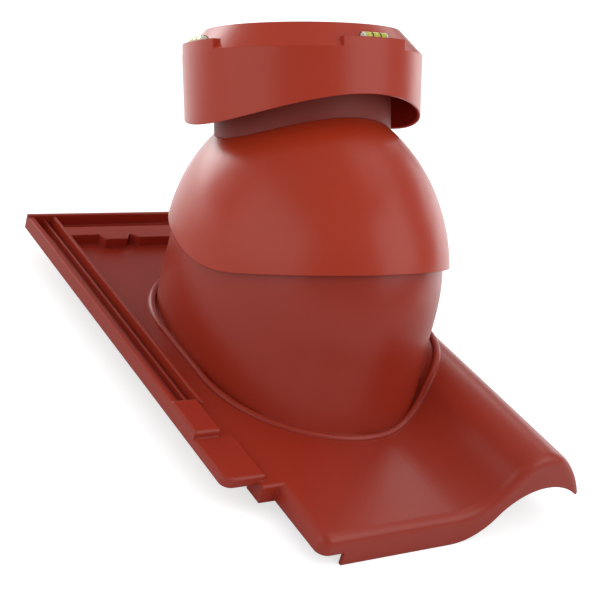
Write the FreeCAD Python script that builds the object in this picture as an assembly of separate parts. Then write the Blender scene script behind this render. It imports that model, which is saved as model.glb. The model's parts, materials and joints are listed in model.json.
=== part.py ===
import FreeCAD, Part
import math
import os

# Roof tile vent, in millimetres.
# X runs across the roof, Y up the slope, Z away from the roof; Z = 0 is the plane the tile rests on.
# The hood, pipe, cap and vials are drawn upright about the tilt centre and then leaned up the slope.

V = FreeCAD.Vector

# Tile sheet
tile_length = 399.6
tile_right_x = 122.6
rim_left_x = -122.6
wall = 2.5
pan_z = 22.0
pan_left_x = -86.0
valley_x = 16.1
roll_x = 81.6
roll_top_z = 60.0
roll_radius = 28.7
roll_shoulder_deg = 40.0
lip_z = 24.6

# Front skirt
skirt_left_x = -68.0
corner_drop = 12.5
roll_skirt_drop = 25.1
skirt_roll_x = 88.0
skirt_roll_radius = 46.0
skirt_valley_radius = 42.0
nose_radius = 6.5
skirt_corner_radius = 7.5

# Side lock along the left edge
lock_front_y = -138.0
rim_top_z = 30.0
rim_width = 5.1
rim_edge_radius = 1.6
low_ridge_x = -108.5
low_ridge_height = 5.0
low_ridge_width = 1.2
high_ridge_x = -101.0
high_ridge_width = 2.6
rib_draft = 0.9
high_ridge_front_y = -62.0
tall_block_right_x = -104.0
tall_block_front_y = -94.0
tall_block_back_y = -59.0
tall_block_top_z = 31.0
low_block_right_x = -94.0
low_block_top_z = 26.0
block_edge_radius = 2.0
rim_corner_radius = 7.0
return_left_x = -98.0
return_front_y = -144.0
return_depth = 16.0

# Lock rib under the roll, for the next tile's channel
under_rib_x = 102.0
under_rib_width = 2.2
under_rib_foot_z = 26.0

# Head of the tile
head_rim_width = 3.0
head_rim_top_z = 31.0
head_right_x = 42.0
band_left_x = -102.3
band_back_y = 178.7
band_front_y = 166.0
band_right_front_y = 160.5
band_top_z = 30.0
stop_left_x = -76.0
stop_front_left_x = -73.0
stop_front_right_x = -55.0
stop_notch_x = -50.0
stop_right_x = -43.0
stop_front_y = 158.5

# Hanging nibs under the head
nib_centres_x = (-64.0, 14.0)
nib_width = 30.0
nib_front_y = 148.0
nib_depth = 12.0
nib_foot_depth = 6.0

# Lower bulb on the pan
tilt_x = 6.1
tilt_y = 13.8
tilt_z = 85.9
bulb_half_width = 88.5
bulb_radius = 114.5
bulb_wall = 3.0
foot_half_width = 83.0
foot_half_length = 115.2
foot_shift_y = -6.2
foot_fullness = 2.5
foot_z = 15.0
foot_levels = 4
dome_step_deg = 15.6
dome_levels = 5
section_points = 24
bead_width = 5.0
bead_height = 2.2
bead_bevel = 1.0
bead_arc_radius = 85.0
bead_straight = 65.0
bead_shift_y = -6.3

# Tilt
lean_deg = 26.46
tilt_steeper_deg = 13.5
tilt_flatter_deg = 16.5

# Hood
hood_wall = 2.5
hood_gap = 2.5
hood_side_gap = 2.2
hood_edge_bend_y = -50.0
hood_edge_bend_radius = 135.0
hood_edge_rise_deg = 24.0

# Vent pipe and hose spigot
pipe_radius = 62.5
pipe_wall = 2.5
pipe_top = 135.0
spigot_radius = 52.0
spigot_wall = 2.5
spigot_end = -45.0
shoulder_base = 109.5
hose_stop_gap = 3.0
hose_stop_width = 3.0
hose_stop_rise = 1.2
spigot_clearance = 1.0
slot_clearance = 2.0
seat_clearance = 0.1

# Trunnions and their saddles
trunnion_radius = 6.0
trunnion_end_gap = 1.2
running_clearance = 0.06
saddle_inner_x = 66.0
saddle_half_size = 12.0
saddle_mouth = 11.0
notch_end_gap = 3.5
notch_clearance = 2.0
notch_floor = 30.0

# Rain cap
cap_radius = 84.5
cap_draft = 1.5
cap_wall = 2.5
cap_shoulder = 147.0
cap_top = 164.0
cap_top_radius = 68.5
cap_rim_high = 117.0
cap_rim_low = 97.0
cap_rib_count = 4
cap_rib_start_deg = 45.0
cap_rib_width = 2.5
cap_rib_foot = 122.0
cap_rib_reach = 6.0

# Level vials and their pockets on the cap
pocket_half_deg = 18.0
pocket_top = 154.0
pocket_depth = 14.0
pocket_inset = 14.0
front_pocket_turn_deg = 3.0
left_pocket_turn_deg = -96.0
vial_length = 21.0
vial_radius = 3.5
vial_centre_radius = 79.4
vial_centre_height = 154.0
vial_clearance = 0.05
vial_end_bevel = 0.6

# Worked out from the sizes above
front_y = -tile_length / 2
back_y = tile_length / 2
sheet_bottom_z = pan_z - wall
corner_z = pan_z - corner_drop
tilt_centre = V(tilt_x, tilt_y, tilt_z)
hood_radius = bulb_radius + hood_gap + hood_wall
hood_half_width = bulb_half_width + hood_side_gap + hood_wall
touch = 1e-3
AXIS_X = V(1, 0, 0)
AXIS_Z = V(0, 0, 1)
ORIGIN = V(0, 0, 0)


def polygon_face(points):
    return Part.Face(Part.makePolygon(points + points[:1]))


def box(x0, x1, y0, y1, z0, z1):
    return Part.makeBox(x1 - x0, y1 - y0, z1 - z0, V(x0, y0, z0))


def line(start, end):
    return Part.LineSegment(start, end).toShape()


def arc_xz(centre_x, centre_z, radius, start, end):
    points = []
    for angle in (start, (start + end) / 2, end):
        points.append(V(centre_x + radius * math.cos(angle), 0, centre_z + radius * math.sin(angle)))
    return Part.Arc(*points).toShape()


def start_of(edge):
    return edge.valueAt(edge.FirstParameter)


def end_of(edge):
    return edge.valueAt(edge.LastParameter)


def edges_within(shape, x=None, y=None, z=None):
    """Edges that lie wholly inside the given ranges."""
    slack = 1e-4
    found = []
    for edge in shape.Edges:
        bounds = edge.BoundBox
        spans = (
            (x, bounds.XMin, bounds.XMax),
            (y, bounds.YMin, bounds.YMax),
            (z, bounds.ZMin, bounds.ZMax),
        )
        if all(s is None or (low > s[0] - slack and high < s[1] + slack) for s, low, high in spans):
            found.append(edge)
    return found


# Centres of the arcs in the tile's section
roll_centre_z = roll_top_z - roll_radius
roll_above_pan = roll_centre_z - pan_z
roll_run = roll_x - valley_x
valley_radius = (roll_run**2 + roll_above_pan**2 - roll_radius**2) / (2 * (roll_radius + roll_above_pan))
valley_centre_z = pan_z + valley_radius
swing_angle = math.atan2(roll_centre_z - valley_centre_z, roll_run)
shoulder_angle = math.radians(90 - roll_shoulder_deg)
shoulder_x = roll_x + roll_radius * math.cos(shoulder_angle)
shoulder_z = roll_centre_z + roll_radius * math.sin(shoulder_angle)
to_lip_x = tile_right_x - shoulder_x
to_lip_z = lip_z - shoulder_z
lip_bulge = to_lip_x * math.cos(shoulder_angle) + to_lip_z * math.sin(shoulder_angle)
flank_radius = -(to_lip_x**2 + to_lip_z**2) / (2 * lip_bulge)
flank_x = shoulder_x - flank_radius * math.cos(shoulder_angle)
flank_z = shoulder_z - flank_radius * math.sin(shoulder_angle)


def sheet_line(left_x, drop):
    """Section of the sheet from its left edge to the lip, moved inwards by drop."""
    flank = flank_radius - drop
    lip_angle = math.asin((lip_z - flank_z) / flank)
    pan = line(V(left_x, 0, pan_z - drop), V(valley_x, 0, pan_z - drop))
    valley = arc_xz(valley_x, valley_centre_z, valley_radius + drop, -math.pi / 2, swing_angle)
    roll = arc_xz(roll_x, roll_centre_z, roll_radius - drop, swing_angle + math.pi, shoulder_angle)
    side = arc_xz(flank_x, flank_z, flank, shoulder_angle, lip_angle)
    return [pan, valley, roll, side]


def skirt_line():
    """Lower edge of the front skirt, from the lip back to the skirt's left end."""
    crest_z = roll_top_z - roll_skirt_drop
    centre_z = crest_z - skirt_roll_radius
    both = skirt_roll_radius + skirt_valley_radius
    run = math.sqrt(both**2 - (skirt_valley_radius - centre_z) ** 2)
    skirt_valley_x = skirt_roll_x - run
    turn = math.atan2(centre_z - skirt_valley_radius, run)
    lip_angle = math.asin((lip_z - centre_z) / skirt_roll_radius)
    roll = arc_xz(skirt_roll_x, centre_z, skirt_roll_radius, lip_angle, turn + math.pi)
    valley = arc_xz(skirt_valley_x, skirt_valley_radius, skirt_valley_radius, turn, -math.pi / 2)
    flat = line(V(skirt_valley_x, 0, 0), V(skirt_left_x, 0, 0))
    return [roll, valley, flat]


def rounded_corner(block, left_x, face_y, radius):
    """Rounds the front left upright corner of a block."""
    upright = edges_within(block, x=(left_x, left_x), y=(face_y, face_y))
    return block.makeFillet(radius, upright)


def front_top_edges(block, face_y, top_z):
    """Edge along the flat stretch of the front, which leads a smooth chain round the left and along the roll."""
    return edges_within(block, y=(face_y, face_y), z=(top_z, top_z))


def sheet_outer():
    """Full block under the sheet's line, down to the skirt's edge, with its nose rounded."""
    top = sheet_line(pan_left_x, 0)
    under = skirt_line()
    edges = top + [line(end_of(top[-1]), start_of(under[0]))] + under
    edges.append(line(V(skirt_left_x, 0, 0), V(skirt_left_x, 0, corner_z)))
    edges.append(line(V(skirt_left_x, 0, corner_z), V(pan_left_x, 0, corner_z)))
    edges.append(line(V(pan_left_x, 0, corner_z), V(pan_left_x, 0, pan_z)))
    face = Part.Face(Part.Wire(edges))
    face.translate(V(0, front_y, 0))
    block = face.extrude(V(0, tile_length, 0))
    block = rounded_corner(block, pan_left_x, front_y, skirt_corner_radius)
    return block.makeFillet(nose_radius, front_top_edges(block, front_y, pan_z))


def sheet_inner():
    """Space under the sheet, behind the skirt and right of the pan's left wall."""
    top = sheet_line(pan_left_x + wall, wall)
    start = start_of(top[0])
    end = end_of(top[-1])
    low_z = -wall
    edges = list(top)
    edges.append(line(end, V(end.x, 0, low_z)))
    edges.append(line(V(end.x, 0, low_z), V(start.x, 0, low_z)))
    edges.append(line(V(start.x, 0, low_z), start))
    face = Part.Face(Part.Wire(edges))
    inside_y = front_y + wall
    face.translate(V(0, inside_y, 0))
    block = face.extrude(V(0, tile_length, 0))
    block = rounded_corner(block, pan_left_x + wall, inside_y, skirt_corner_radius - wall)
    return block.makeChamfer(nose_radius - wall, front_top_edges(block, inside_y, sheet_bottom_z))


def under_rib():
    """Lock rib under the roll, as a block that reaches up into the sheet."""
    half = under_rib_width / 2
    left = under_rib_x - half
    right = under_rib_x + half
    return box(left, right, front_y, back_y, under_rib_foot_z, roll_top_z)


def lock_rails():
    """Outer rim, thin low ridge and high ridge that run up the left edge, on their strip of sheet."""
    rim_right = rim_left_x + rim_width
    low_half = low_ridge_width / 2
    high_half = high_ridge_width / 2
    low_top = pan_z + low_ridge_height
    outline = [
        (rim_left_x, sheet_bottom_z),
        (rim_left_x, rim_top_z),
        (rim_right, rim_top_z),
        (rim_right + rib_draft, pan_z),
        (low_ridge_x - low_half - rib_draft, pan_z),
        (low_ridge_x - low_half, low_top),
        (low_ridge_x + low_half, low_top),
        (low_ridge_x + low_half + rib_draft, pan_z),
        (high_ridge_x - high_half - rib_draft, pan_z),
        (high_ridge_x - high_half, rim_top_z),
        (high_ridge_x + high_half, rim_top_z),
        (high_ridge_x + high_half + rib_draft, pan_z),
        (pan_left_x + skirt_corner_radius, pan_z),
        (pan_left_x + skirt_corner_radius, sheet_bottom_z),
    ]
    face = polygon_face([V(x, tall_block_back_y, z) for x, z in outline])
    rails = face.extrude(V(0, back_y - tall_block_back_y, 0))
    rim_edges = edges_within(rails, x=(rim_left_x, rim_right), z=(rim_top_z, rim_top_z))
    rim_edges = [edge for edge in rim_edges if edge.BoundBox.YLength > rim_width * 2]
    return rails.makeFillet(rim_edge_radius, rim_edges)


def lock_blocks():
    """Closed front end of the side lock: a strip of sheet, a tall block and a low block before it."""
    strip_right = pan_left_x + skirt_corner_radius
    strip = box(rim_left_x, strip_right, lock_front_y, tall_block_back_y, sheet_bottom_z, pan_z)
    tall = box(
        rim_left_x, tall_block_right_x, tall_block_front_y, tall_block_back_y, sheet_bottom_z, tall_block_top_z
    )
    tall_edges = edges_within(tall, x=(rim_left_x, rim_left_x), z=(tall_block_top_z, tall_block_top_z))
    tall_edges += edges_within(
        tall, y=(tall_block_front_y, tall_block_front_y), z=(tall_block_top_z, tall_block_top_z)
    )
    tall = tall.makeFillet(block_edge_radius, tall_edges)
    low = box(
        rim_left_x, low_block_right_x, lock_front_y, tall_block_front_y, sheet_bottom_z, low_block_top_z
    )
    corner = edges_within(low, x=(rim_left_x, rim_left_x), y=(lock_front_y, lock_front_y))
    low = low.makeFillet(rim_corner_radius, corner)
    front_top = edges_within(
        low, y=(lock_front_y, lock_front_y), z=(low_block_top_z, low_block_top_z)
    )
    low = low.makeFillet(block_edge_radius, front_top)
    strip_corner = edges_within(strip, x=(rim_left_x, rim_left_x), y=(lock_front_y, lock_front_y))
    strip = strip.makeFillet(rim_corner_radius, strip_corner)
    start_y = high_ridge_front_y
    ridge_half = high_ridge_width / 2
    ridge = box(
        high_ridge_x - ridge_half,
        high_ridge_x + ridge_half,
        start_y,
        tall_block_back_y,
        sheet_bottom_z,
        rim_top_z,
    )
    return strip.fuse([tall, low, ridge])


def lock_return():
    """Short wall that turns the corner between the side lock and the pan's left wall."""
    right = pan_left_x + skirt_corner_radius
    back = return_front_y + return_depth
    outer = box(return_left_x, right, return_front_y, back, corner_z, pan_z)
    inner = box(return_left_x + wall, right + wall, return_front_y + wall, back + wall, -wall, sheet_bottom_z)
    edges = edges_within(outer, y=(return_front_y, return_front_y), z=(pan_z, pan_z))
    return outer.makeFillet(block_edge_radius, edges).cut(inner)


def band_outline():
    points = [
        (band_left_x, band_back_y),
        (head_right_x, band_back_y),
        (head_right_x, band_right_front_y),
        (stop_right_x, band_right_front_y),
        (stop_notch_x, band_front_y),
        (stop_front_right_x, stop_front_y),
        (stop_front_left_x, stop_front_y),
        (stop_left_x, band_front_y),
        (band_left_x, band_front_y),
    ]
    return polygon_face([V(x, y, sheet_bottom_z) for x, y in points])


def head_band():
    """Raised water stop across the head, hollow underneath, with the stop block in its front edge."""
    outline = band_outline()
    solid = outline.extrude(V(0, 0, band_top_z - sheet_bottom_z))
    hollow = outline.makeOffset2D(-wall)
    hollow.translate(V(0, 0, -wall))
    hollow = hollow.extrude(V(0, 0, band_top_z - sheet_bottom_z))
    return solid, hollow


def nib(centre_x):
    """Hanging nib under the head: a front wall with a sloped web at each end."""
    left = centre_x - nib_width / 2
    right = centre_x + nib_width / 2
    top_z = pan_z - wall / 2
    front = box(left, right, nib_front_y, nib_front_y + wall, 0, top_z)
    back = nib_front_y + nib_depth
    side = [
        (nib_front_y, 0),
        (nib_front_y + nib_foot_depth, 0),
        (back, sheet_bottom_z),
        (back, top_z),
        (nib_front_y, top_z),
    ]
    web = polygon_face([V(left, y, z) for y, z in side]).extrude(V(wall, 0, 0))
    other = web.translated(V(nib_width - wall, 0, 0))
    return front.fuse([web, other])


def bulb_section(z, half_width, half_length, centre_y, fullness):
    """Closed rounded outline at one height, an ellipse where fullness is 2 and squarer above that."""
    points = []
    for step in range(section_points):
        angle = 2 * math.pi * step / section_points
        across = math.cos(angle)
        along = math.sin(angle)
        x = half_width * math.copysign(abs(across) ** (2 / fullness), across)
        y = half_length * math.copysign(abs(along) ** (2 / fullness), along)
        points.append(V(tilt_x + x, centre_y + y, z))
    curve = Part.BSplineCurve()
    curve.interpolate(points, PeriodicFlag=True)
    return Part.Wire(curve.toShape())


def bulb(inset):
    """Lower bulb as one smooth body: upright walls from the foot, then the dome, shrunk by inset."""
    sections = []
    for level in range(foot_levels):
        z = foot_z + (tilt_z - foot_z) * level / foot_levels
        blend = ((tilt_z - z) / (tilt_z - pan_z)) ** 2
        half_width = bulb_half_width + (foot_half_width - bulb_half_width) * blend - inset
        half_length = bulb_radius + (foot_half_length - bulb_radius) * blend - inset
        centre_y = tilt_y + foot_shift_y * blend
        fullness = 2 + (foot_fullness - 2) * blend
        sections.append(bulb_section(z, half_width, half_length, centre_y, fullness))
    for level in range(dome_levels + 1):
        angle = math.radians(dome_step_deg * level)
        z = tilt_z + (bulb_radius - inset) * math.sin(angle)
        half_width = (bulb_half_width - inset) * math.cos(angle)
        half_length = (bulb_radius - inset) * math.cos(angle)
        sections.append(bulb_section(z, half_width, half_length, tilt_y, 2))
    return Part.makeLoft(sections, True, False)


def swing_slot():
    """Slot through the dome that the spigot swings in."""
    radius = spigot_radius + slot_clearance
    low = bulb_radius / 2
    high = bulb_radius * 1.4
    flattest = lean_deg - tilt_flatter_deg
    steepest = lean_deg + tilt_steeper_deg
    outline = [V(-radius, 0, low), V(radius, 0, low), V(radius, 0, high), V(-radius, 0, high)]
    start = polygon_face(outline)
    start.rotate(ORIGIN, AXIS_X, -flattest)
    sweep = start.revolve(ORIGIN, AXIS_X, flattest - steepest)
    ends = []
    for angle in (flattest, steepest):
        end = Part.makeCylinder(radius, high - low, V(0, 0, low))
        end.rotate(ORIGIN, AXIS_X, -angle)
        ends.append(end)
    slot = sweep.fuse(ends)
    slot.translate(tilt_centre)
    return slot


def trunnion_notches():
    """Side notches in the dome that let the trunnions in from above."""
    end = bulb_half_width - bulb_wall - notch_end_gap
    half = trunnion_radius + notch_clearance
    notch = box(-end, end, -half, half, notch_floor, bulb_radius * 1.2)
    notch.translate(tilt_centre)
    return notch


def saddle(side):
    """Open-top bearing on the inside of the bulb's wall, with a mouth a little narrower than the trunnion."""
    outer_x = bulb_half_width - bulb_wall / 2
    half = saddle_half_size
    block = box(saddle_inner_x, outer_x, -half, half, -half, half)
    bore = Part.makeCylinder(
        trunnion_radius + running_clearance, outer_x, V(0, 0, 0), AXIS_X
    )
    mouth = box(0, bulb_half_width - bulb_wall, -saddle_mouth / 2, saddle_mouth / 2, 0, half * 2)
    bore = bore.common(box(0, bulb_half_width - bulb_wall, -half, half, -half, half))
    block = block.cut(bore).cut(mouth)
    if side < 0:
        block = block.mirror(ORIGIN, AXIS_X)
    block.translate(tilt_centre)
    return block


def stadium(radius):
    """Plan outline round the bulb's foot: two half circles joined by straight sides."""
    half = bead_straight / 2
    centre_y = tilt_y + bead_shift_y
    left = tilt_x - radius
    right = tilt_x + radius
    low_y = centre_y - half
    high_y = centre_y + half
    edges = [
        Part.Arc(V(left, low_y, 0), V(tilt_x, low_y - radius, 0), V(right, low_y, 0)).toShape(),
        line(V(right, low_y, 0), V(right, high_y, 0)),
        Part.Arc(V(right, high_y, 0), V(tilt_x, high_y + radius, 0), V(left, high_y, 0)).toShape(),
        line(V(left, high_y, 0), V(left, low_y, 0)),
    ]
    return Part.Face(Part.Wire(edges))


def foot_bead():
    """Rounded bead round the bulb's foot, following the sheet's line where it climbs the roll."""
    half = bead_width / 2
    plan = stadium(bead_arc_radius + half).cut(stadium(bead_arc_radius - half))
    ring = plan.extrude(V(0, 0, roll_top_z + 2 * bead_height))
    raised = sheet_line(pan_left_x, -bead_height)
    lowered = sheet_line(pan_left_x, wall / 2)
    ends = [line(start_of(raised[0]), start_of(lowered[0])), line(end_of(raised[-1]), end_of(lowered[-1]))]
    slab = Part.Face(Part.Wire(Part.__sortEdges__(raised + lowered + ends)))
    slab.translate(V(0, front_y, 0))
    bead = ring.common(slab.extrude(V(0, tile_length, 0)))
    crest = Part.Compound(raised)
    rim = Part.Compound(plan.Edges)
    top_edges = []
    for edge in bead.Edges:
        middle = edge.valueAt((edge.FirstParameter + edge.LastParameter) / 2)
        on_crest = crest.distToShape(Part.Vertex(middle.x, 0, middle.z))[0] < touch
        on_rim = rim.distToShape(Part.Vertex(middle.x, middle.y, 0))[0] < touch
        if on_crest and on_rim:
            top_edges.append(edge)
    return bead.makeChamfer(bead_bevel, top_edges)


def base_tile():
    outer = sheet_outer()
    under = sheet_inner().cut(under_rib())
    strip_edge = pan_left_x + skirt_corner_radius
    side_gap = box(
        pan_left_x - wall, strip_edge, return_front_y + wall, back_y + wall, -wall, sheet_bottom_z
    )
    band, hollow = head_band()
    head_rim = box(
        rim_left_x, head_right_x, back_y - head_rim_width, back_y, sheet_bottom_z, head_rim_top_z
    )
    tile = outer.cut([under, side_gap])
    tile = tile.fuse([lock_rails(), lock_blocks(), lock_return()])
    tile = tile.fuse([band.cut(under), head_rim.cut(under)])
    tile = tile.cut(hollow)
    tile = tile.fuse([nib(x) for x in nib_centres_x])
    tile = tile.fuse([bulb(0).cut(under), foot_bead()])
    inside = bulb(bulb_wall).cut([saddle(1), saddle(-1)])
    tile = tile.cut([inside, swing_slot(), trunnion_notches()])
    return tile.removeSplitter()


def ellipsoid(half_width, radius):
    """Ball squeezed along X: an ellipse across, a circle seen from the side."""
    squeeze = FreeCAD.Matrix()
    squeeze.scale(half_width / radius, 1, 1)
    return Part.makeSphere(radius).transformGeometry(squeeze)


def hood_edge_cutter():
    """Everything below the hood's lower edge: level at the front, bending up towards the back."""
    rise = math.radians(hood_edge_rise_deg)
    bend = hood_edge_bend_radius
    far = 2 * hood_radius

    def on_bend(angle):
        return V(0, hood_edge_bend_y + bend * math.sin(angle), bend - bend * math.cos(angle))

    front = V(0, -far, 0)
    bend_start = on_bend(0)
    bend_end = on_bend(rise)
    back = bend_end + V(0, far * math.cos(rise), far * math.sin(rise))
    low_back = V(0, back.y, -far)
    low_front = V(0, -far, -far)
    edges = [
        line(front, bend_start),
        Part.Arc(bend_start, on_bend(rise / 2), bend_end).toShape(),
        line(bend_end, back),
        line(back, low_back),
        line(low_back, low_front),
        line(low_front, front),
    ]
    face = Part.Face(Part.Wire(edges))
    face.translate(V(-far, 0, 0))
    return face.extrude(V(2 * far, 0, 0))


def hood():
    outer = ellipsoid(hood_half_width, hood_radius)
    inner = ellipsoid(hood_half_width - hood_wall, hood_radius - hood_wall)
    hole = Part.makeCylinder(spigot_radius + spigot_clearance, 2 * hood_radius)
    return outer.cut([inner, hood_edge_cutter(), hole])


def turned(outline):
    """Solid turned about Z from radius and height pairs."""
    return polygon_face([V(radius, 0, height) for radius, height in outline]).revolve(ORIGIN, AXIS_Z, 360)


def neck_tube():
    """Outer tube of the pipe, its lower end cut to sit on the hood."""
    inner = pipe_radius - pipe_wall
    tube = turned([(inner, 0), (pipe_radius, 0), (pipe_radius, pipe_top), (inner, pipe_top)])
    return tube.cut(ellipsoid(hood_half_width + seat_clearance, hood_radius + seat_clearance))


def hose_spigot():
    """Inner tube for the hose, with a stop ring and the sloped shoulder that hangs it from the neck."""
    spigot_inner = spigot_radius - spigot_wall
    neck_middle = pipe_radius - pipe_wall / 2
    rise = neck_middle - spigot_radius
    inner_rise = neck_middle - spigot_inner
    top = shoulder_base + rise + pipe_wall * math.sqrt(2)
    stop_top = -trunnion_radius - hose_stop_gap
    stop_base = stop_top - hose_stop_width
    stop_radius = spigot_radius + hose_stop_rise
    outline = [
        (spigot_inner, spigot_end),
        (spigot_radius, spigot_end),
        (spigot_radius, stop_base),
        (stop_radius, stop_base),
        (stop_radius, stop_top),
        (spigot_radius, stop_top),
        (spigot_radius, shoulder_base),
        (neck_middle, shoulder_base + rise),
        (neck_middle, top),
        (spigot_inner, top - inner_rise),
    ]
    return turned(outline)


def trunnion(side):
    length = bulb_half_width - bulb_wall - trunnion_end_gap
    pin = Part.makeCylinder(trunnion_radius, length, ORIGIN, V(side, 0, 0))
    depth = 4 * trunnion_radius
    core = Part.makeCylinder(spigot_radius - spigot_wall / 2, depth, V(0, 0, -depth / 2))
    return pin.cut(core)


def vent_pipe():
    """Neck on the hood, hose spigot inside it and a trunnion on each side of the spigot."""
    return neck_tube().fuse([hose_spigot(), trunnion(1), trunnion(-1)])


def cap_rim_cutter():
    """Everything below the cap's waved rim: an arch over the front and the back, low at the sides."""
    drop = cap_rim_high - cap_rim_low
    side = cap_radius
    far = 2 * cap_radius
    left = V(-side, 0, cap_rim_low)
    right = V(side, 0, cap_rim_low)
    arch = Part.Arc(left, V(0, 0, cap_rim_high), right).toShape()
    low_z = cap_rim_low - 2 * drop
    edges = [
        arch,
        line(right, V(side, 0, low_z)),
        line(V(side, 0, low_z), V(-side, 0, low_z)),
        line(V(-side, 0, low_z), left),
    ]
    face = Part.Face(Part.Wire(edges))
    face.translate(V(0, -far, 0))
    return face.extrude(V(0, 2 * far, 0))


def vial_pocket(turn_deg):
    """Raised pocket on the bevel, flush with the skirt, with the vial's seat left for a later cut."""
    inner = cap_radius - pocket_inset
    low = pocket_top - pocket_depth
    outline = [(inner, low), (cap_radius - cap_wall / 2, low), (cap_radius, cap_shoulder)]
    outline += [(cap_radius, pocket_top), (inner, pocket_top)]
    face = polygon_face([V(0, -radius, height) for radius, height in outline])
    face.rotate(ORIGIN, AXIS_Z, -pocket_half_deg)
    block = face.revolve(ORIGIN, AXIS_Z, 2 * pocket_half_deg)
    block.rotate(ORIGIN, AXIS_Z, turn_deg)
    return block


def vial_rod(turn_deg, clearance):
    """Round rod where a vial lies, grown by clearance."""
    length = vial_length + 2 * clearance
    rod = Part.makeCylinder(
        vial_radius + clearance,
        length,
        V(-length / 2, -vial_centre_radius, vial_centre_height),
        AXIS_X,
    )
    rod.rotate(ORIGIN, AXIS_Z, turn_deg)
    return rod


def cap_rib(angle_deg):
    """Radial rib that holds the cap on the pipe: it grips the pipe's outside and sits on its top edge."""
    grip = pipe_radius + seat_clearance
    seat = pipe_top + seat_clearance
    inner = pipe_radius - pipe_wall - cap_rib_reach
    outline = [
        (inner, cap_top - cap_wall / 2),
        (inner, seat),
        (grip, seat),
        (grip, cap_rib_foot),
        (cap_radius, cap_rib_foot + cap_radius - grip),
        (cap_radius, cap_top - cap_wall / 2),
    ]
    face = polygon_face([V(radius, -cap_rib_width / 2, height) for radius, height in outline])
    rib = face.extrude(V(0, cap_rib_width, 0))
    rib.rotate(ORIGIN, AXIS_Z, angle_deg)
    return rib


def cap_shapes():
    """Outer and inner turned bodies of the cap."""
    foot = cap_rim_low - cap_wall
    bevel = math.atan2(cap_radius - cap_top_radius, cap_top - cap_shoulder)
    inset = cap_wall * math.tan(math.pi / 4 - bevel / 2)
    outer = [
        (0, cap_top),
        (cap_top_radius, cap_top),
        (cap_radius, cap_shoulder),
        (cap_radius - cap_draft, foot),
        (0, foot),
    ]
    inner = [
        (0, cap_top - cap_wall),
        (cap_top_radius - inset, cap_top - cap_wall),
        (cap_radius - cap_wall, cap_shoulder - cap_wall * math.tan(bevel / 2)),
        (cap_radius - cap_draft - cap_wall, foot - cap_wall),
        (0, foot - cap_wall),
    ]
    return turned(outer), turned(inner)


def rain_cap():
    outer, inner = cap_shapes()
    turns = (front_pocket_turn_deg, left_pocket_turn_deg)
    cap = outer.fuse([vial_pocket(turn) for turn in turns])
    cap = cap.cut(inner)
    ribs = []
    for index in range(cap_rib_count):
        rib = cap_rib(cap_rib_start_deg + 360 * index / cap_rib_count)
        ribs.append(rib.common(outer))
    cap = cap.fuse(ribs)
    cap = cap.cut([cap_rim_cutter()] + [vial_rod(turn, vial_clearance) for turn in turns])
    return cap.removeSplitter()


def level_vial(turn_deg):
    rod = vial_rod(turn_deg, 0)
    ends = [edge for edge in rod.Edges if edge.Curve.TypeId == "Part::GeomCircle"]
    return rod.makeChamfer(vial_end_bevel, ends)


def leaned(shape):
    """Puts an upright shape on the tilt centre, leaning up the slope."""
    placed = shape.copy()
    placed.rotate(ORIGIN, AXIS_X, -lean_deg)
    placed.translate(tilt_centre)
    return placed


def main():
    os.makedirs("parts", exist_ok=True)
    nodes = {
        "base_tile": base_tile(),
        "hood": leaned(hood()),
        "vent_pipe": leaned(vent_pipe()),
        "rain_cap": leaned(rain_cap()),
        "level_vial_front": leaned(level_vial(front_pocket_turn_deg)),
        "level_vial_left": leaned(level_vial(left_pocket_turn_deg)),
    }
    for name, shape in nodes.items():
        shape.exportStep("parts/" + name + ".step")
        print(name, shape.isValid(), len(shape.Solids), round(shape.Volume), shape.BoundBox)


main()
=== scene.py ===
import json
import math

import bpy
from mathutils import Matrix, Vector


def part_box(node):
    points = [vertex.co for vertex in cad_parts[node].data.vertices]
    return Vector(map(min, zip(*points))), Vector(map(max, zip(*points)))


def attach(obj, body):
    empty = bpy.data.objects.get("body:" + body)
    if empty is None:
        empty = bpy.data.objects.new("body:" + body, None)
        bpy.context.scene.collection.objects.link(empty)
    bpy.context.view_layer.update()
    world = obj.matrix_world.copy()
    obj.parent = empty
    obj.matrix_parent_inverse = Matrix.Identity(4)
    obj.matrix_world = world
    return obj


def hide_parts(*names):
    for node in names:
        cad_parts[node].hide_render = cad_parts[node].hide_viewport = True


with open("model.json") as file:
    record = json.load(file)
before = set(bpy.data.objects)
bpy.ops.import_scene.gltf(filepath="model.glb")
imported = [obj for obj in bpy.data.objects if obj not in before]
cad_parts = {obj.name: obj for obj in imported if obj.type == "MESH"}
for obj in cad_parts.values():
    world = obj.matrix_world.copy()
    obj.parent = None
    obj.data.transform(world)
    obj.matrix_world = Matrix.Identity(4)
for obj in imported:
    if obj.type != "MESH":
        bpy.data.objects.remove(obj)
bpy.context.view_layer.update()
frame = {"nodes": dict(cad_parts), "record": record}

# Roof tile vent of moulded terracotta plastic, in metres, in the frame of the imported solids.
MM = 0.001

# Where the photograph was taken from
camera_place = (-0.5499, -0.7063, 0.516)
camera_right = (0.8306, -0.4986, 0.2482)
camera_up = (0.0526, 0.5138, 0.8563)
camera_lens = 82.28
camera_sensor = 36.0
camera_near = 0.05
camera_far = 50.0

# Level vials in the cap's pockets
front_vial_turn_deg = 3.0
left_vial_turn_deg = -96.0
vial_radius = 3.5 * MM
vial_length = 21.0 * MM
vial_wall = 0.7 * MM
vial_end_radius = 0.8 * MM
plug_length = 1.6 * MM
bubble_length = 6.0 * MM
bubble_radius = 1.5 * MM
bubble_sink = 0.6
mark_spacing = 6.5 * MM
mark_width = 0.9 * MM
mark_rise = 0.03 * MM

# Space inside the cap, measured from the tilt axis along the pipe
cap_inside_radius = 82.5 * MM
cap_inside_top = 144.0 * MM

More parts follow.
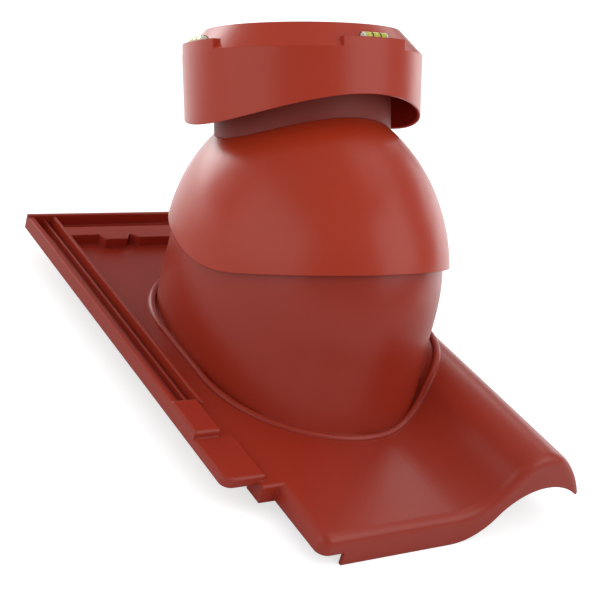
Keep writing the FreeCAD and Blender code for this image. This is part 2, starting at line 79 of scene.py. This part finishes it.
# Section of the tile's sheet and the bead round the bulb's foot
pan_z = 22.0 * MM
valley_x = 16.1 * MM
roll_x = 81.6 * MM
roll_top_z = 60.0 * MM
roll_radius = 28.7 * MM
bead_centre = (6.1 * MM, 7.5 * MM)
bead_arc_radius = 85.0 * MM
bead_straight = 65.0 * MM
bead_radius = 2.9 * MM
bead_arc_steps = 72
bead_round_steps = 5

# How finely round pieces are drawn
round_sides = 48
end_steps = 4
end_facing = 0.9
bubble_segments = 32
bubble_rings = 16
smooth_angle = math.radians(40)

# Finish of the mouldings
head_roughness = 0.32
tile_roughness = 0.34
pipe_roughness = 0.56
plug_roughness = 0.3
moulded_edge_radius = 0.8 * MM
tile_edge_radius = 1.8 * MM
polypropylene_ior = 1.49
acrylic_ior = 1.49
spirit_ior = 1.36

# Colours as they are seen, in sRGB
# Hood and cap: the tile's terracotta plastic drawn lighter, as painted light
HEAD_TERRACOTTA_PAINTED_LIGHT = "#AE331A"
HEAD_DEEP_PAINTED_LIGHT = "#A63018"
TILE_TERRACOTTA = "#9D2D1B"
TILE_DEEP = "#952A19"
# Pipe: the same terracotta plastic drawn darker, as painted shade under the cap
PIPE_TERRACOTTA_PAINTED_SHADE = "#87281B"
PIPE_DEEP_PAINTED_SHADE = "#802519"
SPIRIT_GREEN = "#D9D426"
SPIRIT_PALE = "#E6DF52"
BUBBLE_GREEN = "#EDF08A"
BUBBLE_PALE = "#F2F4A8"
ACRYLIC_CLEAR = "#F6F8EE"
PLUG_WHITE = "#F2EFE8"
PLUG_SHADE = "#E9E5DC"
MARK_BLACK = "#141414"
MARK_WORN = "#202020"
PAPER_PALE = "#CECECE"
PAPER_SHADE = "#CACACA"

# Direction in which the white backdrop lies, level, away from the camera
BACKDROP_SIDE = (0.61, 0.79, 0.0)

# Strength of the room and of the floor, where 1 is white
WHITE = (1, 1, 1, 1)
ROOM_SOFT = 0.73
ROOM_SEEN = 1.0
ROOM_MIRRORED = {"near": -0.2, "far": 0.5, "low": 0.07, "high": 0.26}
FLOOR_SOFT = 0.0
FLOOR_SEEN = 0.64
FLOOR_MIRRORED = {"near": 0.1, "far": 0.32, "low": 0.0, "high": 1.0}
floor_size = 12

# Name, place, width, height and power in watts of each softbox, and the point that all of them face
SOFTBOXES = (
    ("softbox_left", (-1.8, 0.1, 0.65), 2.0, 1.3, 7.0),
    ("softbox_right", (0.9, -1.3, 1.2), 1.5, 1.6, 10.0),
    ("softbox_high", (0.7, 0.0, 1.75), 1.1, 1.1, 2.5),
    ("softbox_back", (0.9, 0.85, 0.7), 0.5, 0.4, 1.0),
    ("softbox_rear_left", (-0.35, 1.8, 0.4), 1.0, 0.8, 12.0),
    ("softbox_rear_right", (1.9, 0.5, 0.4), 1.0, 0.8, 4.0),
)
LAMP_TARGET = (0.0, 0.0, 0.13)


def linear(hex_colour):
    """Linear RGBA from an sRGB hex colour."""
    channels = []
    for start in (1, 3, 5):
        value = int(hex_colour[start:start + 2], 16) / 255
        if value <= 0.04045:
            channels.append(value / 12.92)
        else:
            channels.append(((value + 0.055) / 1.055) ** 2.4)
    return (*channels, 1.0)


def add_node(tree, kind, inputs=None, **settings):
    """Adds a node, sets its settings, and sets or links its inputs."""
    node = tree.nodes.new(kind)
    for name, value in settings.items():
        setattr(node, name, value)
    for name, value in (inputs or {}).items():
        socket = node.inputs[name]
        if isinstance(value, bpy.types.NodeSocket):
            tree.links.new(value, socket)
        else:
            socket.default_value = value
    return node


def new_material(name):
    """Empty node material and its output node."""
    material = bpy.data.materials.new(name)
    material.use_nodes = True
    tree = material.node_tree
    tree.nodes.clear()
    output = add_node(tree, "ShaderNodeOutputMaterial")
    return material, tree, output


def noise(tree, place, size, detail):
    """Noise whose blotches are about this wide, in metres."""
    finer_share = 0.5
    made = add_node(
        tree, "ShaderNodeTexNoise",
        {"Vector": place, "Scale": 1 / size, "Detail": detail, "Roughness": finer_share},
    )
    return made.outputs["Fac"]


def add_mix(tree, factor, first, second, socket):
    """Feeds a socket with a value between two others."""
    made = add_node(tree, "ShaderNodeMix", {"Factor": factor, "A": first, "B": second})
    tree.links.new(made.outputs["Result"], socket)


def colour_blend(tree, factor, first, second):
    """Colour that wanders between two near shades."""
    made = add_node(tree, "ShaderNodeMix", {"Factor": factor}, data_type="RGBA")
    # The colour sockets of this node share their names with others, so they are taken by number.
    made.inputs[6].default_value = linear(first)
    made.inputs[7].default_value = linear(second)
    return made.outputs[2]


def pipe_axis():
    """Direction of the pipe, from the spigot that the record states."""
    for mount in frame["record"]["mounts"]:
        if mount["name"] == "hose_spigot":
            return -Vector(mount["axis"]).normalized()
    raise ValueError("the record has no hose spigot")


def vector_math(tree, operation, *inputs):
    """Node that works on vectors."""
    return add_node(tree, "ShaderNodeVectorMath", dict(enumerate(inputs)), operation=operation)


def number_math(tree, operation, *inputs):
    """Result of a node that works on numbers."""
    made = add_node(tree, "ShaderNodeMath", dict(enumerate(inputs)), operation=operation)
    return made.outputs["Value"]


def inside_cap(tree, place):
    """1 within the cap's wall and below its top, 0 elsewhere."""
    axis = pipe_axis()
    tilt_centre = frame["record"]["behaviour"]["joints"][0]["pos_m"]
    offset = vector_math(tree, "SUBTRACT", place, tilt_centre).outputs["Vector"]
    across = vector_math(tree, "CROSS_PRODUCT", offset, axis).outputs["Vector"]
    radius = vector_math(tree, "LENGTH", across).outputs["Value"]
    along = vector_math(tree, "DOT_PRODUCT", offset, axis).outputs["Value"]
    within = number_math(tree, "LESS_THAN", radius, cap_inside_radius)
    below = number_math(tree, "LESS_THAN", along, cap_inside_top)
    return number_math(tree, "MULTIPLY", within, below)


def moulded_polypropylene(
    name, shade, deep_shade, roughness, edge_radius=moulded_edge_radius, dull_place=None
):
    """Injection-moulded polypropylene: satin, softly mottled by the melt's flow, with rounded edges.

    Where dull_place gives 1, the core of the mould has left the face dull.
    """
    flow_size = 55 * MM
    gloss_size = 14 * MM
    # The real spark-eroded grain is about 0.2 mm; it is drawn coarser so that it shows.
    grain_size = 0.9 * MM
    grain_depth = 0.05 * MM
    grain_strength = 0.08
    peel_size = 5 * MM
    peel_depth = 0.2 * MM
    peel_strength = 0.04
    edge_samples = 6
    gloss_range = 0.04
    dull_roughness = 0.9
    plain_shine = 0.5
    dull_shine = 0.05
    material, tree, output = new_material(name)
    place = add_node(tree, "ShaderNodeTexCoord").outputs["Object"]
    colour = colour_blend(tree, noise(tree, place, flow_size, 3), shade, deep_shade)
    gloss = add_node(
        tree, "ShaderNodeMapRange",
        {
            "Value": noise(tree, place, gloss_size, 2),
            "To Min": roughness - gloss_range,
            "To Max": roughness + gloss_range,
        },
    )
    edges = add_node(tree, "ShaderNodeBevel", {"Radius": edge_radius}, samples=edge_samples)
    peel = add_node(
        tree, "ShaderNodeBump",
        {
            "Strength": peel_strength,
            "Distance": peel_depth,
            "Height": noise(tree, place, peel_size, 1),
            "Normal": edges.outputs["Normal"],
        },
    )
    grain = add_node(
        tree, "ShaderNodeBump",
        {
            "Strength": grain_strength,
            "Distance": grain_depth,
            "Height": noise(tree, place, grain_size, 2),
            "Normal": peel.outputs["Normal"],
        },
    )
    shader = add_node(
        tree, "ShaderNodeBsdfPrincipled",
        {
            "Base Color": colour,
            "Roughness": gloss.outputs["Result"],
            "IOR": polypropylene_ior,
            "Normal": grain.outputs["Normal"],
        },
    )
    if dull_place:
        dull = dull_place(tree, place)
        add_mix(tree, dull, gloss.outputs["Result"], dull_roughness, shader.inputs["Roughness"])
        add_mix(tree, dull, plain_shine, dull_shine, shader.inputs["Specular IOR Level"])
    tree.links.new(shader.outputs["BSDF"], output.inputs["Surface"])
    return material


def clear_acrylic():
    """Extruded acrylic tube: clear and glossy, with a faintly uneven surface."""
    line_size = 1.2 * MM
    line_depth = 0.02 * MM
    line_strength = 0.05
    roughness = 0.04
    material, tree, output = new_material("extruded_clear_acrylic")
    place = add_node(tree, "ShaderNodeTexCoord").outputs["Object"]
    lines = add_node(
        tree, "ShaderNodeBump",
        {
            "Strength": line_strength,
            "Distance": line_depth,
            "Height": noise(tree, place, line_size, 1),
        },
    )
    shader = add_node(
        tree, "ShaderNodeBsdfPrincipled",
        {
            "Base Color": linear(ACRYLIC_CLEAR),
            "Roughness": roughness,
            "IOR": acrylic_ior,
            "Transmission Weight": 1.0,
            "Normal": lines.outputs["Normal"],
        },
    )
    tree.links.new(shader.outputs["BSDF"], output.inputs["Surface"])
    return material


def dyed_spirit(name, shade, deep_shade):
    """Dyed spirit: a bright yellow-green liquid."""
    swirl_size = 4 * MM
    roughness = 0.12
    material, tree, output = new_material(name)
    place = add_node(tree, "ShaderNodeTexCoord").outputs["Object"]
    colour = colour_blend(tree, noise(tree, place, swirl_size, 2), shade, deep_shade)
    shader = add_node(
        tree, "ShaderNodeBsdfPrincipled",
        {"Base Color": colour, "Roughness": roughness, "IOR": spirit_ior},
    )
    tree.links.new(shader.outputs["BSDF"], output.inputs["Surface"])
    return material


def printed_ink():
    """Screen-printed black ink: dull, with a slightly uneven film."""
    film_size = 0.8 * MM
    roughness = 0.55
    material, tree, output = new_material("printed_black_ink")
    place = add_node(tree, "ShaderNodeTexCoord").outputs["Object"]
    colour = colour_blend(tree, noise(tree, place, film_size, 2), MARK_BLACK, MARK_WORN)
    shader = add_node(
        tree, "ShaderNodeBsdfPrincipled", {"Base Color": colour, "Roughness": roughness}
    )
    tree.links.new(shader.outputs["BSDF"], output.inputs["Surface"])
    return material


def dress_node(node, material):
    """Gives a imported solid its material."""
    for slot in frame["nodes"][node].material_slots:
        slot.material = material


def dress_solids():
    """Moulded plastic on the four mouldings: one terracotta plastic, drawn lighter on the hood and cap as
    painted light and darker on the pipe as painted shade.
    """
    tile = moulded_polypropylene(
        "moulded_polypropylene_tile", TILE_TERRACOTTA, TILE_DEEP, tile_roughness, tile_edge_radius
    )
    # Hood: the tile's plastic drawn lighter, as painted light
    hood = moulded_polypropylene(
        "moulded_polypropylene_hood_painted_light", HEAD_TERRACOTTA_PAINTED_LIGHT, HEAD_DEEP_PAINTED_LIGHT, head_roughness
    )
    # Pipe: the tile's plastic drawn darker, as painted shade under the cap
    pipe = moulded_polypropylene(
        "moulded_polypropylene_pipe_painted_shade", PIPE_TERRACOTTA_PAINTED_SHADE, PIPE_DEEP_PAINTED_SHADE, pipe_roughness
    )
    # Cap: the tile's plastic drawn lighter, as painted light
    cap = moulded_polypropylene(
        "moulded_polypropylene_cap_painted_light", HEAD_TERRACOTTA_PAINTED_LIGHT, HEAD_DEEP_PAINTED_LIGHT, head_roughness,
        dull_place=inside_cap,
    )
    dress_node("base_tile", tile)
    dress_node("hood", hood)
    dress_node("vent_pipe", pipe)
    dress_node("rain_cap", cap)


def vial_matrix(node, turn_deg):
    """Takes a vial made along X at the origin to its node, turned and leaned as its pocket is."""
    low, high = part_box(node)
    lean = Vector((0, 0, 1)).rotation_difference(pipe_axis()).to_matrix().to_4x4()
    turn = Matrix.Rotation(math.radians(turn_deg), 4, "Z")
    return Matrix.Translation((low + high) / 2) @ lean @ turn


def start_piece():
    """Object mode with nothing selected, so that the next operator acts on its own mesh only."""
    if bpy.context.object and bpy.context.object.mode != "OBJECT":
        bpy.ops.object.mode_set(mode="OBJECT")
    bpy.ops.object.select_all(action="DESELECT")


def name_piece(name):
    """Names the piece just added and its mesh."""
    piece = bpy.context.object
    piece.name = name
    piece.data.name = name
    return piece


def lay_piece(piece, matrix, material, body):
    """Moves the finished mesh to its place, dresses it and lets it ride."""
    piece.data.transform(piece.matrix_basis)
    piece.matrix_basis = Matrix.Identity(4)
    piece.data.transform(matrix)
    piece.data.materials.clear()
    piece.data.materials.append(material)
    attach(piece, body)
    return piece


def round_rod(name, radius, length, end_radius):
    """Round rod along X with rounded ends."""
    start_piece()
    bpy.ops.mesh.primitive_cylinder_add(
        vertices=round_sides, radius=radius, depth=length, rotation=(0, math.pi / 2, 0)
    )
    piece = name_piece(name)
    bpy.ops.object.transform_apply(location=True, rotation=True, scale=True)
    bpy.ops.object.mode_set(mode="EDIT")
    bpy.ops.mesh.select_mode(type="FACE")
    bpy.ops.mesh.select_all(action="DESELECT")
    bpy.ops.object.mode_set(mode="OBJECT")
    for face in piece.data.polygons:
        face.select = abs(face.normal.x) > end_facing
    bpy.ops.object.mode_set(mode="EDIT")
    bpy.ops.mesh.bevel(offset=end_radius, segments=end_steps)
    bpy.ops.object.mode_set(mode="OBJECT")
    bpy.ops.object.shade_smooth_by_angle(angle=smooth_angle)
    return piece


def mark_ring(name, place_x):
    """Thin printed ring round the vial."""
    start_piece()
    bpy.ops.mesh.primitive_cylinder_add(
        vertices=round_sides, radius=vial_radius + mark_rise, depth=mark_width, end_fill_type="NOTHING",
        location=(place_x, 0, 0), rotation=(0, math.pi / 2, 0),
    )
    piece = name_piece(name)
    wall = piece.modifiers.new("film", "SOLIDIFY")
    wall.thickness = mark_rise
    wall.offset = -1
    bpy.ops.object.modifier_apply(modifier="film")
    bpy.ops.object.shade_smooth_by_angle(angle=smooth_angle)
    return piece


def bubble(name):
    """Long air bubble at the top of the liquid."""
    start_piece()
    bpy.ops.mesh.primitive_uv_sphere_add(
        segments=bubble_segments, ring_count=bubble_rings, radius=1
    )
    piece = name_piece(name)
    piece.scale = (bubble_length / 2, bubble_radius, bubble_radius)
    piece.location = (0, 0, vial_radius - vial_wall - bubble_radius * bubble_sink)
    bpy.ops.object.transform_apply(location=True, rotation=True, scale=True)
    bpy.ops.object.shade_smooth()
    return piece


def level_vial(node, turn_deg):
    """Spirit level: clear tube with dyed spirit, a bubble, two white end plugs and two printed rings."""
    body = "vent_head"
    ends = (("left", -1), ("right", 1))
    matrix = vial_matrix(node, turn_deg)
    core_radius = vial_radius - vial_wall
    spirit_length = vial_length - 2 * (plug_length + vial_wall)
    plug_place = (vial_length - plug_length) / 2 - vial_wall
    tube = round_rod(node + "_tube", vial_radius, vial_length, vial_end_radius)
    spirit = round_rod(node + "_spirit", core_radius, spirit_length, vial_end_radius)
    air = bubble(node + "_bubble")
    rings = [mark_ring(node + "_ring_" + side, way * mark_spacing / 2) for side, way in ends]
    lay_piece(tube, matrix, clear_acrylic(), body)
    lay_piece(spirit, matrix, dyed_spirit("dyed_spirit", SPIRIT_GREEN, SPIRIT_PALE), body)
    lay_piece(air, matrix, dyed_spirit("bubble_pale", BUBBLE_GREEN, BUBBLE_PALE), body)
    white = moulded_polypropylene(
        "moulded_polypropylene_plug", PLUG_WHITE, PLUG_SHADE, plug_roughness
    )
    for side, way in ends:
        plug = round_rod(node + "_plug_" + side, core_radius, plug_length, vial_end_radius)
        aside = Matrix.Translation((way * plug_place, 0, 0))
        lay_piece(plug, matrix @ aside, white, body)
    ink = printed_ink()
    for ring in rings:
        lay_piece(ring, matrix, ink, body)
    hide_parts(node)


def sheet_height(x):
    """Height of the sheet's upper side: flat pan, hollow valley, then the roll."""
    roll_centre_z = roll_top_z - roll_radius
    rise = roll_centre_z - pan_z
    run = roll_x - valley_x
    valley_radius = (run**2 + rise**2 - roll_radius**2) / (2 * (roll_radius + rise))
    turn_x = valley_x + run * valley_radius / (valley_radius + roll_radius)
    if x <= valley_x:
        return pan_z
    if x <= turn_x:
        return pan_z + valley_radius - math.sqrt(valley_radius**2 - (x - valley_x) ** 2)
    return roll_centre_z + math.sqrt(roll_radius**2 - (x - roll_x) ** 2)


def bead_path():
    """Points round the bulb's foot, on the sheet: a half circle at the front and one at the back."""
    centre_x, centre_y = bead_centre
    points = []
    for end, start_deg in ((-1, 180), (1, 0)):
        for step in range(bead_arc_steps + 1):
            angle = math.radians(start_deg + 180 * step / bead_arc_steps)
            x = centre_x + bead_arc_radius * math.cos(angle)
            y = centre_y + end * bead_straight / 2 + bead_arc_radius * math.sin(angle)
            points.append((x, y, sheet_height(x)))
    return points


def foot_bead():
    """Half-round bead of the tile moulding, drawn as a round cord half sunk in the sheet."""
    start_piece()
    points = bead_path()
    data = bpy.data.curves.new("foot_bead", "CURVE")
    data.dimensions = "3D"
    data.bevel_depth = bead_radius
    data.bevel_resolution = bead_round_steps
    spline = data.splines.new("POLY")
    spline.points.add(len(points) - 1)
    for point, place in zip(spline.points, points):
        point.co = (*place, 1)
    spline.use_cyclic_u = True
    cord = bpy.data.objects.new("foot_bead", data)
    bpy.context.scene.collection.objects.link(cord)
    bpy.context.view_layer.objects.active = cord
    cord.select_set(True)
    bpy.ops.object.convert(target="MESH")
    piece = name_piece("foot_bead")
    bpy.ops.object.shade_smooth()
    tile_material = frame["nodes"]["base_tile"].material_slots[0].material
    lay_piece(piece, Matrix.Identity(4), tile_material, "tile")


def place_camera():
    """Camera at the photograph's viewing angle."""
    right = Vector(camera_right).normalized()
    back = right.cross(Vector(camera_up)).normalized()
    up = back.cross(right)
    turn = Matrix((right, up, back)).transposed().to_4x4()
    data = bpy.data.cameras.new("camera")
    data.lens = camera_lens
    data.sensor_width = camera_sensor
    data.clip_start = camera_near
    data.clip_end = camera_far
    camera = bpy.data.objects.new("camera", data)
    camera.matrix_world = Matrix.Translation(camera_place) @ turn
    bpy.context.scene.collection.objects.link(camera)
    bpy.context.scene.camera = camera


def softbox(name, place, width, height, power):
    """Soft rectangular lamp that faces the object."""
    data = bpy.data.lights.new(name, "AREA")
    data.shape = "RECTANGLE"
    data.size = width
    data.size_y = height
    data.energy = power
    lamp = bpy.data.objects.new(name, data)
    away = Vector(place) - Vector(LAMP_TARGET)
    turn = away.to_track_quat("Z", "Y").to_matrix().to_4x4()
    lamp.matrix_world = Matrix.Translation(place) @ turn
    bpy.context.scene.collection.objects.link(lamp)


def side_ramp(tree, place, side, near, far, low, high):
    """Value that climbs from low to high along a direction."""
    along = vector_math(tree, "DOT_PRODUCT", place, side)
    ramp = add_node(
        tree, "ShaderNodeMapRange",
        {
            "Value": along.outputs["Value"],
            "From Min": near,
            "From Max": far,
            "To Min": low,
            "To Max": high,
        },
    )
    return ramp.outputs["Result"]


def by_ray(tree, plain, mirrored, seen):
    """Strength for soft light, for reflections, and for what the camera or a clear piece sees."""
    path = add_node(tree, "ShaderNodeLightPath")
    soft = add_node(
        tree, "ShaderNodeMix", {"Factor": path.outputs["Is Glossy Ray"], "A": plain, "B": mirrored}
    )
    straight = number_math(
        tree, "MAXIMUM", path.outputs["Is Camera Ray"], path.outputs["Is Transmission Ray"]
    )
    made = add_node(
        tree, "ShaderNodeMix", {"Factor": straight, "A": soft.outputs["Result"], "B": seen}
    )
    return made.outputs["Result"]


def surround():
    """White room: white to the eye, even as soft light, and dimmer in reflections on the camera's side."""
    world = bpy.data.worlds.new("surround")
    world.use_nodes = True
    tree = world.node_tree
    tree.nodes.clear()
    output = add_node(tree, "ShaderNodeOutputWorld")
    direction = add_node(tree, "ShaderNodeTexCoord").outputs["Generated"]
    mirrored = side_ramp(tree, direction, BACKDROP_SIDE, **ROOM_MIRRORED)
    sky = add_node(
        tree, "ShaderNodeBackground",
        {"Color": WHITE, "Strength": by_ray(tree, ROOM_SOFT, mirrored, ROOM_SEEN)},
    )
    tree.links.new(sky.outputs["Background"], output.inputs["Surface"])
    bpy.context.scene.world = world


def studio_lights():
    """A large softbox on each side, one on top, and three behind the object for the rims and the pan."""
    for values in SOFTBOXES:
        softbox(*values)


def floor_material():
    """Matt paper sweep that the camera sees as white, with a soft shadow left on it."""
    paper_size = 30 * MM
    material, tree, output = new_material("matt_white_paper")
    place = add_node(tree, "ShaderNodeTexCoord").outputs["Object"]
    colour = colour_blend(tree, noise(tree, place, paper_size, 2), PAPER_PALE, PAPER_SHADE)
    paper = add_node(tree, "ShaderNodeBsdfDiffuse", {"Color": colour})
    mirrored = side_ramp(tree, place, BACKDROP_SIDE, **FLOOR_MIRRORED)
    glow = add_node(
        tree, "ShaderNodeEmission",
        {"Color": WHITE, "Strength": by_ray(tree, FLOOR_SOFT, mirrored, FLOOR_SEEN)},
    )
    bright = add_node(tree, "ShaderNodeAddShader")
    tree.links.new(paper.outputs["BSDF"], bright.inputs[0])
    tree.links.new(glow.outputs["Emission"], bright.inputs[1])
    tree.links.new(bright.outputs["Shader"], output.inputs["Surface"])
    return material


def lay_floor():
    """Plain pale floor under the object."""
    start_piece()
    bpy.ops.mesh.primitive_plane_add(size=floor_size, location=(0, 0, 0))
    floor = name_piece("floor")
    floor.data.materials.append(floor_material())


bpy.context.scene.view_settings.view_transform = "Standard"
dress_solids()
foot_bead()
level_vial("level_vial_front", front_vial_turn_deg)
level_vial("level_vial_left", left_vial_turn_deg)
lay_floor()
surround()
studio_lights()
place_camera()
